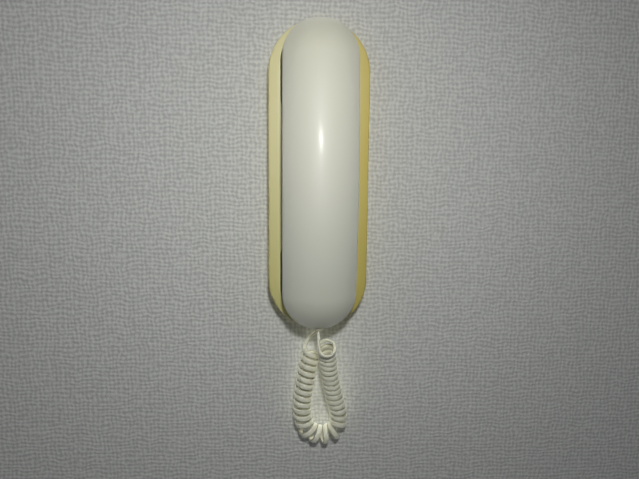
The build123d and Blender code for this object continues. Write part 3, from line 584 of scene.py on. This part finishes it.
# %% Plated steel
plate_effect, given, end = group(
    "plated_steel",
    [("Bright", "Color", (0.7, 0.7, 0.7, 1)), ("Dull", "Color", (0.5, 0.5, 0.5, 1)),
     ("Crystals", "Float", 160.0)],
    [("Color", "Color"), ("Roughness", "Float"), ("Height", "Float")])
place, _ = where(plate_effect)
crystals = add(plate_effect, "TexVoronoi", {"Vector": place, "Scale": given["Crystals"]}).outputs["Color"]
tone = add(plate_effect, "SeparateColor", {0: crystals}).outputs[1]
stretched = add(plate_effect, "Mapping", {"Vector": place, "Scale": (900.0, 900.0, 40.0)}).outputs[0]
rolled = noise(plate_effect, stretched, 1.0, 2.0)
mixed = plus(plate_effect, times(plate_effect, tone, 0.6), times(plate_effect, rolled, 0.5))
connect(end, {
    "Color": blend_colours(plate_effect, mixed, given["Dull"], given["Bright"]),
    "Roughness": step_between(plate_effect, mixed, 0.0, 1.1, 0.48, 0.26),
    "Height": rolled,
})
print("effects", [effect.name for effect in bpy.data.node_groups])

# %% [markdown]
# ## The handset's glossy shell
# The handset is of ivory plastic with a high gloss, only a little yellowed. Its finish is a
# pale colour with a trace of cloudiness, a dull gloss with a thin sharper one over it, and a
# moulded skin so fine that it only softens the reflection of the lamp. A dark line is painted
# where its two shells meet, as the shade of a parting groove that the shells don't have, and
# its lower end is painted darker, as shade.

# %% Layers that plastic can have
# The lower end is painted darker, as shade: a tint multiplies the colour from the top mark down.
low_shade_top, low_shade_bottom = 0.06, -0.095
# A dark line is painted where the shells meet, as the shade of a parting groove.
seam_shade_edge, seam_shade_core = 0.00022, 0.00008


def with_painted_low_shade(tree, colour, tint):
    """Painted shade on the lower end: the colour multiplied by a tint, more and more from the top mark
    down.
    """
    low_shade_share = step_between(tree, where(tree)[1][2], low_shade_top, low_shade_bottom)
    return blend_colours(tree, low_shade_share, colour, shade(*tint), "MULTIPLY")


def with_painted_seam_shade(tree, colour, off_wall):
    """Painted shade in the line where two shells meet, at a distance off the wall, darkest in its core."""
    off_seam = calc(tree, "ABSOLUTE", plus(tree, where(tree)[1][1], off_wall))
    line = step_between(tree, off_seam, seam_shade_edge, seam_shade_core, 0.0, 0.75)
    return blend_colours(tree, line, colour, shade(96, 90, 74))


# %% Plastic finishes
def plastic(name, fresh, aged, daylight, roughness, spread=0.08, skin_scale=900.0, bump=0.06,
            polish=0.0, film=None, covered=None, seam=None):
    """A moulded plastic. daylight is a number, or a function that builds a mask in the tree.

    polish is the share of a thin sharp gloss over the dull one, which leaves a small highlight.
    film is the tint of painted shade that darkens the lower end. covered is a colour that light
    never changed, and the function that builds its mask. seam is how far off the wall two shells
    meet, where a dark line is painted as the shade of a parting groove.
    """
    material, tree, shader = finish_of(name)
    surface = use(tree, skin_effect, Scale=skin_scale, Patches=18.0)
    amount = daylight(tree) if callable(daylight) else daylight
    colour = use(tree, age_effect, Fresh=shade(*fresh), Aged=shade(*aged), Daylight=amount)["Color"]
    if film:
        colour = with_painted_low_shade(tree, colour, film)
    if covered:
        colour = blend_colours(tree, covered[1](tree), colour, shade(*covered[0]))
    if seam:
        colour = with_painted_seam_shade(tree, colour, seam)
    specks = use(tree, speck_effect, Few=0.985)["Mask"]
    glossiest, dullest = roughness - spread / 2, roughness + spread / 2
    connect(shader, {
        "Base Color": blend_colours(tree, specks, colour, shade(70, 60, 45)),
        "Roughness": from_cloud(tree, surface["Gloss"], glossiest, dullest),
        "Normal": relief(tree, surface["Height"], bump),
        "Coat Weight": polish,
        "Coat Roughness": 0.2,
    })
    return material


# %% The handset
def handset_daylight(tree):
    """More at the two ends than in the middle."""
    _, (_, _, z) = where(tree)
    return step_between(tree, calc(tree, "ABSOLUTE", z), 0.05, 0.11, 0.1, 0.45)


shells_meet = 0.030
# The film tint is painted shade on the lower end, and the seam is a painted dark line.
handset_finish = plastic("ivory_gloss", (222, 222, 205), (216, 213, 188), handset_daylight, 0.5, 0.04,
                         polish=0.12, film=(232, 235, 238), seam=shells_meet)
put_on(handset_finish, "handset_front", "handset_back")

# %% [markdown]
# The two points where the handset's rounded ends begin shade wrongly as they come, so three
# modifiers join the doubled points there, keep the crisp edges and even the shading out.

# %% The handset's shading
handset_modifiers = parts["handset_front"].modifiers
handset_modifiers.new("joined_points", "WELD").merge_threshold = 0.000005
handset_modifiers.new("crisp_edges", "EDGE_SPLIT").split_angle = np.radians(28)
handset_modifiers.new("even_shading", "WEIGHTED_NORMAL")
print("handset_front", [modifier.name for modifier in handset_modifiers])

# %% [markdown]
# ## The yellowed base
# The base is of the same plastic, but years of light have turned it yellow, most on its right
# side; its paler left side is partly a painted sheen of the lamp. The mask for this comes from
# two measures of place: how far right a point lies, and how far from a line down the middle. The
# handset covers the rest of the base and its wells, so they have kept the colour of new plastic,
# by a second mask that ends at the handset's outline.

# %% Where light reached the base
half_straight = 0.0810
band_inside, band_outside = 0.029, 0.0365
shade_edge, shade_core = 0.0275, 0.0225


def off_middle(tree):
    """The distance to a line down the middle that ends where the handset's round ends begin."""
    _, (x, _, z) = where(tree)
    past_end = calc(tree, "MAXIMUM", calc(tree, "SUBTRACT", calc(tree, "ABSOLUTE", z), half_straight), 0.0)
    return hypotenuse(tree, x, past_end)


def base_yellowing_and_sheen(tree):
    """More towards the right, and a little more towards the outer edge; the paler left is partly painted
    sheen.
    """
    _, (x, _, _) = where(tree)
    outer = step_between(tree, off_middle(tree), band_inside, band_outside, 0.0, 0.12)
    return plus(tree, step_between(tree, x, -0.03, 0.032, 0.3, 0.85), outer)


def under_handset(tree):
    """1 behind the handset, falling to 0 at its outline."""
    return step_between(tree, off_middle(tree), shade_edge, shade_core)


# %% The base
# The film tint is painted shade that darkens the lower end of the base.
base_finish = plastic("yellowed_ivory", (247, 245, 202), (221, 201, 108), base_yellowing_and_sheen, 0.48, 0.06,
                      polish=0.1, film=(225, 225, 196), covered=((226, 224, 203), under_handset))
put_on(base_finish, "base_cover")
put_on(plastic("satin_ivory", (206, 200, 172), (196, 178, 128), 0.35, 0.48, 0.1, 500.0, 0.15), "base_rear")

# %% [markdown]
# ## The cord's soft insulation
# Soft vinyl is glossy but less even than a hard moulding. The colour is made darker along the
# two narrow edges, where the curls meet, which the map along the cord makes easy to find: they
# lie where the share of the way round is 0 and a half. The straight ends and most of the first
# curl stay light, by the distance along the cord.

# %% Where the cord is made darker
def on_cord(tree):
    """The distance along a cord, and the tube's number plus the share of the way round."""
    on_map = add(tree, "UVMap", uv_map="along").outputs[0]
    distance, rounds, _ = add(tree, "SeparateXYZ", {0: on_map}).outputs
    return distance, rounds


# The narrow edges of the cord are made darker, except near its two ends.
first_undarkened, first_darkened = 0.035, 0.060
last_undarkened, last_darkened = cord_length - 0.025, cord_length - 0.035


def curl_edge_darkening(tree):
    """1 along the narrow edges where the curls meet, and 0 on the broad sides and the two ends."""
    distance, rounds = on_cord(tree)
    edge = calc(tree, "ABSOLUTE", calc(tree, "COSINE", times(tree, rounds, 2 * np.pi)))
    after_start = step_between(tree, distance, first_undarkened, first_darkened)
    before_end = step_between(tree, distance, last_undarkened, last_darkened)
    return times(tree, step_between(tree, edge, 0.66, 0.97), times(tree, after_start, before_end))


# %% The cord
cord_finish, tree, shader = finish_of("ivory_vinyl")
cloud = noise(tree, where(tree)[0], 60.0, 3.0)
tinted = blend_colours(tree, cloud, shade(242, 241, 222), shade(232, 232, 206))
cord_skin = use(tree, skin_effect, Scale=1400.0)["Height"]
connect(shader, {
    "Base Color": blend_colours(tree, times(tree, curl_edge_darkening(tree), 0.72), tinted, shade(138, 133, 100)),
    "Roughness": from_cloud(tree, cloud, 0.26, 0.36),
    "Normal": relief(tree, cord_skin, 0.08),
})
put_on(cord_finish, "cord")
put_on(plastic("ivory_rubber", (200, 197, 176), (190, 178, 132), 0.3, 0.42, 0.1, 700.0, 0.1),
       "base_cord_grommet", "handset_cord_grommet")

# %% [markdown]
# The wires share one finish. The map's v passes the next whole number where the next wire
# begins, so each step past one changes the colour.

# %% The wires
wire_finish, tree, shader = finish_of("covered_wires")
_, which = on_cord(tree)
colour = shade(170, 40, 32)
for number, tint in enumerate([(38, 110, 60), (200, 170, 60), (40, 40, 42)], 1):
    colour = blend_colours(tree, calc(tree, "GREATER_THAN", which, number + 0.001), colour, shade(*tint))
dusty = noise(tree, where(tree)[0], 120.0)
connect(shader, {
    "Base Color": blend_colours(tree, times(tree, dusty, 0.3), colour, shade(150, 145, 135)),
    "Roughness": from_cloud(tree, dusty, 0.35, 0.5),
})
put_on(wire_finish, "handset_wire_strands")

# %% [markdown]
# ## Metal parts
# The bracket, the spring and most screws are of plated steel, the terminal screws of brass and
# the weight of bare steel. Metal shows its surroundings, so its colour is pale and its
# roughness carries the character: crystals, large on the plates and tiny on the screws, and
# fine lines from rolling. Zinc turns dull with the years, under a thin grey film that scatters
# light as stone does, so the bracket and the zinc screws are less metallic.

# %% Metal finishes
def metal(name, bright, dull, crystals=160.0, bump=0.1, rust=0.0, film=0.0):
    """Plated or bare metal, with a little rust in patches where rust is above 0.

    film is the share of a dull grey film that lies over the metal.
    """
    material, tree, shader = finish_of(name)
    surface = use(tree, plate_effect, Bright=shade(*bright), Dull=shade(*dull), Crystals=crystals)
    colour, roughness, bare = surface["Color"], surface["Roughness"], 1.0 - film
    if rust:
        patches = step_between(tree, noise(tree, where(tree)[0], 140.0, 6.0, 0.7), 0.72 - rust, 0.78)
        colour = blend_colours(tree, patches, colour, shade(112, 72, 44))
        roughness = calc(tree, "MAXIMUM", roughness, times(tree, patches, 0.8))
        bare = times(tree, calc(tree, "SUBTRACT", 1.0, patches), bare)
    connect(shader, {
        "Base Color": colour,
        "Roughness": roughness,
        "Metallic": bare,
        "Normal": relief(tree, surface["Height"], bump, 0.0001),
    })
    return material


# %% The metal parts
put_on(metal("zinc_plate", (196, 200, 198), (142, 147, 148), 150.0, 0.1, 0.06, 0.6), "wall_bracket")
put_on(metal("zinc_screws", (205, 204, 196), (160, 158, 148), 700.0, 0.15, film=0.4),
       "case_screws", "board_screws", "handset_screws")
put_on(metal("brass_screws", (214, 186, 116), (168, 138, 72), 900.0, 0.12), "terminal_screws")
put_on(metal("bright_steel", (208, 208, 208), (166, 166, 166), 1200.0, 0.05),
       "hook_lever_pin", "hook_spring")
put_on(metal("bare_steel_bar", (160, 162, 164), (112, 112, 114), 60.0, 0.2, 0.1), "weight_plate")

# %% [markdown]
# ## The circuit board
# The board shows copper tracks under green varnish. They are two sets of parallel lanes that
# jump sideways where a slow noise steps up, as real tracks do. Dots of tin lie over them on a
# loose grid.

# %% The circuit board
def lanes(tree, place, swirl, levels, jump, spacing):
    """How far a place lies from the nearest lane, after a jump for each level of the swirl."""
    level = calc(tree, "FLOOR", times(tree, swirl, levels))
    return calc(tree, "PINGPONG", plus(tree, place, times(tree, level, jump)), spacing)


board_finish, tree, shader = finish_of("green_board")
place, (x, _, z) = where(tree)
swirl = noise(tree, place, 70.0, 0.0)
upright_tracks = step_between(tree, lanes(tree, x, swirl, 6.0, 0.0013, 0.00127), 0.0008, 0.0009)
level_tracks = step_between(tree, lanes(tree, z, swirl, 5.0, 0.0017, 0.00254), 0.0021, 0.0022)
track = calc(tree, "MAXIMUM", upright_tracks, level_tracks)
pads = add(tree, "TexVoronoi", {"Vector": place, "Scale": 210.0, "Randomness": 0.15}).outputs["Distance"]
tin = calc(tree, "LESS_THAN", pads, 0.2)
varnish = blend_colours(tree, track, shade(30, 84, 48), shade(52, 122, 66))
connect(shader, {
    "Base Color": blend_colours(tree, tin, varnish, shade(186, 186, 180)),
    "Metallic": times(tree, tin, 0.9),
    "Roughness": from_cloud(tree, noise(tree, place, 90.0), 0.28, 0.42),
    "Normal": relief(tree, plus(tree, track, tin), 0.3, 0.0001),
})
put_on(board_finish, "circuit_board")

# %% [markdown]
# ## Small parts of two materials
# These are small, so one mask of place for each is enough to tell its materials apart: the
# tin lid of a capacitor from its sleeve, the bronze leaf of the switch from its body, the
# tape of the transformer from its core. A mask is worked out from the part's own box.

# %% Masks of place
def beyond(name, axis, depth, soft=0.0001):
    """A mask that rises from 0 to 1 at a depth from the lowest side of a part's box."""
    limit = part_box(name)[0][axis] + depth
    return lambda tree: step_between(tree, where(tree)[1][axis], limit - soft, limit + soft)


def round_middle(name, radius, soft=0.0003):
    """A mask that is 1 within a radius of the line straight out of the wall through a part's middle."""
    middle_x, _, middle_z = np.mean(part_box(name), axis=0)

    def build(tree):
        _, (x, _, z) = where(tree)
        across, up = calc(tree, "SUBTRACT", x, middle_x), calc(tree, "SUBTRACT", z, middle_z)
        return step_between(tree, hypotenuse(tree, across, up), radius + soft, radius - soft)
    return build


def nowhere(tree):
    """The mask of a part that is all of its first material."""
    return 0.0


# %% Finishes of two materials
def two_part(name, pick, first, second, roughness, metallic=(0.0, 0.0), grain=500.0, bump=0.12):
    """One finish where the mask is 0 and another where it is 1. pick builds the mask in the tree.

    roughness and metallic hold the value of the first material and that of the second.
    """
    material, tree, shader = finish_of(name)
    mask = pick(tree)

    def by_mask(pair):
        """A value that follows the mask from the first of a pair to the second, if they differ."""
        return pair[0] if pair[0] == pair[1] else step_between(tree, mask, 0.0, 1.0, *pair)

    surface = use(tree, skin_effect, Scale=grain, Patches=80.0)
    mottled = step_between(tree, surface["Gloss"], 0.25, 0.75, 0.0, 0.3)
    colour = blend_colours(tree, mask, shade(*first), shade(*second))
    darker = blend_colours(tree, 1.0, colour, shade(175, 175, 175), "MULTIPLY")
    connect(shader, {
        "Base Color": blend_colours(tree, mottled, colour, darker),
        "Roughness": by_mask(roughness),
        "Metallic": by_mask(metallic),
        "Normal": relief(tree, surface["Height"], bump),
    })
    return material


# %% The small parts of the base
lid = beyond("board_capacitors", 1, 0.0002)
put_on(two_part("capacitor_sleeve", lid, (190, 192, 194), (28, 40, 92), (0.32, 0.38), (1.0, 0.0)),
       "board_capacitors")
tape = round_middle("line_transformer", 0.0062, 0.0004)
put_on(two_part("transformer_core", tape, (66, 62, 58), (196, 160, 62), (0.5, 0.42)), "line_transformer")
cone = round_middle("call_speaker", 0.0135)
put_on(two_part("speaker_black", cone, (46, 46, 48), (34, 32, 30), (0.36, 0.8), grain=900.0, bump=0.5),
       "call_speaker")
switch_body = beyond("hook_switch", 2, 0.0088)
put_on(two_part("switch_body", switch_body, (186, 140, 84), (36, 36, 38), (0.34, 0.45), (1.0, 0.0)),
       "hook_switch")
foam_colour = (44, 44, 46)
foam_finish = two_part("closed_cell_foam", nowhere, foam_colour, foam_colour, (0.92, 0.92),
                       grain=1600.0, bump=0.9)
put_on(foam_finish, "speaker_gasket", "receiver_gasket")
put_on(plastic("white_polyamide", (214, 212, 202), (200, 190, 160), 0.3, 0.45, 0.1, 600.0, 0.1),
       "terminal_block")
put_on(plastic("ivory_acetal", (208, 202, 180), (196, 184, 146), 0.4, 0.34, 0.12, 800.0, 0.08),
       "hook_lever")

# %% The small parts of the handset
dome = round_middle("receiver_capsule", 0.0105)
put_on(two_part("capsule_black", dome, (40, 40, 42), (58, 58, 60), (0.4, 0.55)), "receiver_capsule")
felt = beyond("microphone_capsule", 1, 0.0057)
put_on(two_part("microphone_can", felt, (200, 202, 204), (40, 40, 40), (0.3, 0.9), (1.0, 0.0)),
       "microphone_capsule")
rubber_colour = (46, 46, 46)
put_on(two_part("soft_rubber", nowhere, rubber_colour, rubber_colour, (0.75, 0.75), grain=1100.0, bump=0.4),
       "microphone_boot")
print(len(bpy.data.materials), "materials")

# %% [markdown]
# ## The wall
# The phone hangs on a wall with pale vinyl paper. The paper is embossed with a fine weave,
# which shows as relief; its raised threads are painted paler and its hollows darker, as shade.
# The wall isn't part of the phone, and it lies 0.6 mm behind the phone's flat back, so that no
# two faces coincide. Its back is made clear, so that a view from behind shows the phone's rear,
# and it takes no part in shading the phone.

# %% The wall
wall_y = 0.0006
half_across, half_up = 1.1, 0.9
wall_mesh = bpy.data.meshes.new("wall")
wall_corners = [(-half_across, wall_y, -half_up), (half_across, wall_y, -half_up),
                (half_across, wall_y, half_up), (-half_across, wall_y, half_up)]
wall_mesh.from_pydata(wall_corners, [], [(0, 1, 2, 3)])
wall = bpy.data.objects.new("wall", wall_mesh)
bpy.context.scene.collection.objects.link(wall)
wall.visible_diffuse = wall.visible_shadow = False
print("wall", 2 * half_across, "by", 2 * half_up, "m")


# %% The wall's paper
radians_per_metre = 1900.0
most_sway = 0.006


def threads(tree, place, sway):
    """Parallel threads, one each 3.3 mm: the sine of a place that is shifted by the sway."""
    swayed = plus(tree, place, times(tree, sway, most_sway))
    return calc(tree, "SINE", times(tree, swayed, radians_per_metre))


wall_finish, tree, shader = finish_of("wall_paper")
place, (x, _, z) = where(tree)
loose = add(tree, "TexNoise", {"Vector": place, "Scale": 70.0, "Detail": 1.0}).outputs["Color"]
sway = add(tree, "SeparateColor", {0: loose}).outputs
upright_threads = times(tree, threads(tree, x, sway[0]), 0.10)
level_threads = times(tree, threads(tree, z, sway[1]), 0.13)
weave = plus(tree, upright_threads, level_threads)
emboss = plus(tree, weave, noise(tree, place, 420.0, 2.0, 0.6))
# The raised threads are painted paler and the hollows darker, as shade of the emboss.
painted_emboss_shade = step_between(tree, emboss, 0.2, 0.8)
connect(shader, {
    "Base Color": blend_colours(tree, painted_emboss_shade, shade(186, 187, 183), shade(216, 217, 212)),
    "Roughness": 0.6,
    "Specular IOR Level": 0.3,
    "Normal": relief(tree, emboss, 0.6, 0.001),
})
from_behind = add(tree, "NewGeometry").outputs["Backfacing"]
clear = add(tree, "BsdfTransparent").outputs[0]
seen = add(tree, "MixShader", {0: from_behind, 1: shader.outputs[0], 2: clear}).outputs[0]
connect(tree.nodes["Material Output"], {"Surface": seen})
wall_mesh.materials.append(wall_finish)

# %% [markdown]
# ## Light
# The photograph was lit by one small lamp close above the lens, which gives the narrow
# highlight on the handset and the dark shadow below it. A softer lamp in its place keeps both.
# Two faint wide lamps in front fill the shadows a little. Five more stand behind the plane of
# the wall, at the sides, above, below and in the middle: the wall casts no shadow, so they
# light the edges and the rear of the phone for views from all round, and leave the front as it
# is. The two at the sides don't show in reflections, or the handset would have a bright rim.

# %% Lamps
def lamp(name, place, size, power, towards=(0.0, 0.0, 0.0)):
    """A square lamp at a place, turned so that it faces another."""
    data = bpy.data.lights.new(name, "AREA")
    data.size = size
    data.energy = power
    made = bpy.data.objects.new(name, data)
    bpy.context.scene.collection.objects.link(made)
    facing = unit(np.array(place, float) - np.array(towards, float))
    across = unit(np.cross([0.0, 0.0, 1.0], facing))
    made.matrix_world = standing(across, np.cross(facing, across), facing, place)
    return made


lamp("key", (0.003, -0.365, 0.086), 0.03, 0.80, towards=(-0.058, 0.0, -0.06))
lamp("left_fill", (-1.2, -0.6, 0.3), 0.9, 0.7)
lamp("right_fill", (1.2, -0.6, 0.3), 0.9, 0.25)
lamp("left_side", (-1.0, 1.2, 0.2), 0.8, 11.0).visible_glossy = False
lamp("right_side", (1.0, 1.2, 0.2), 0.8, 11.0).visible_glossy = False
lamp("top_side", (0.0, 0.7, 1.0), 0.8, 5.0)
lamp("low_side", (0.0, 0.7, -1.0), 0.8, 3.0)
lamp("behind", (0.3, 1.2, 0.5), 0.9, 6.0)
print("lamps", [light.name for light in bpy.data.lights])

# %% [markdown]
# The room lights the phone faintly from all sides. What the camera sees past the wall is a
# plain pale grey instead, so that the phone stands out in every view.

# %% The surroundings
world = bpy.data.worlds.new("room")
bpy.context.scene.world = world
world.use_nodes = True
tree = world.node_tree
connect(tree.nodes["Background"], {"Color": (0.86, 0.9, 0.96, 1.0), "Strength": 0.1})
room_light = tree.nodes["Background"].outputs[0]
backdrop = add(tree, "Background", {"Color": shade(206, 207, 205), "Strength": 1.0}).outputs[0]
by_camera = add(tree, "LightPath").outputs["Is Camera Ray"]
both = add(tree, "MixShader", {0: by_camera, 1: room_light, 2: backdrop}).outputs[0]
connect(tree.nodes["World Output"], {"Surface": both})
bpy.context.scene.view_settings.view_transform = "Standard"
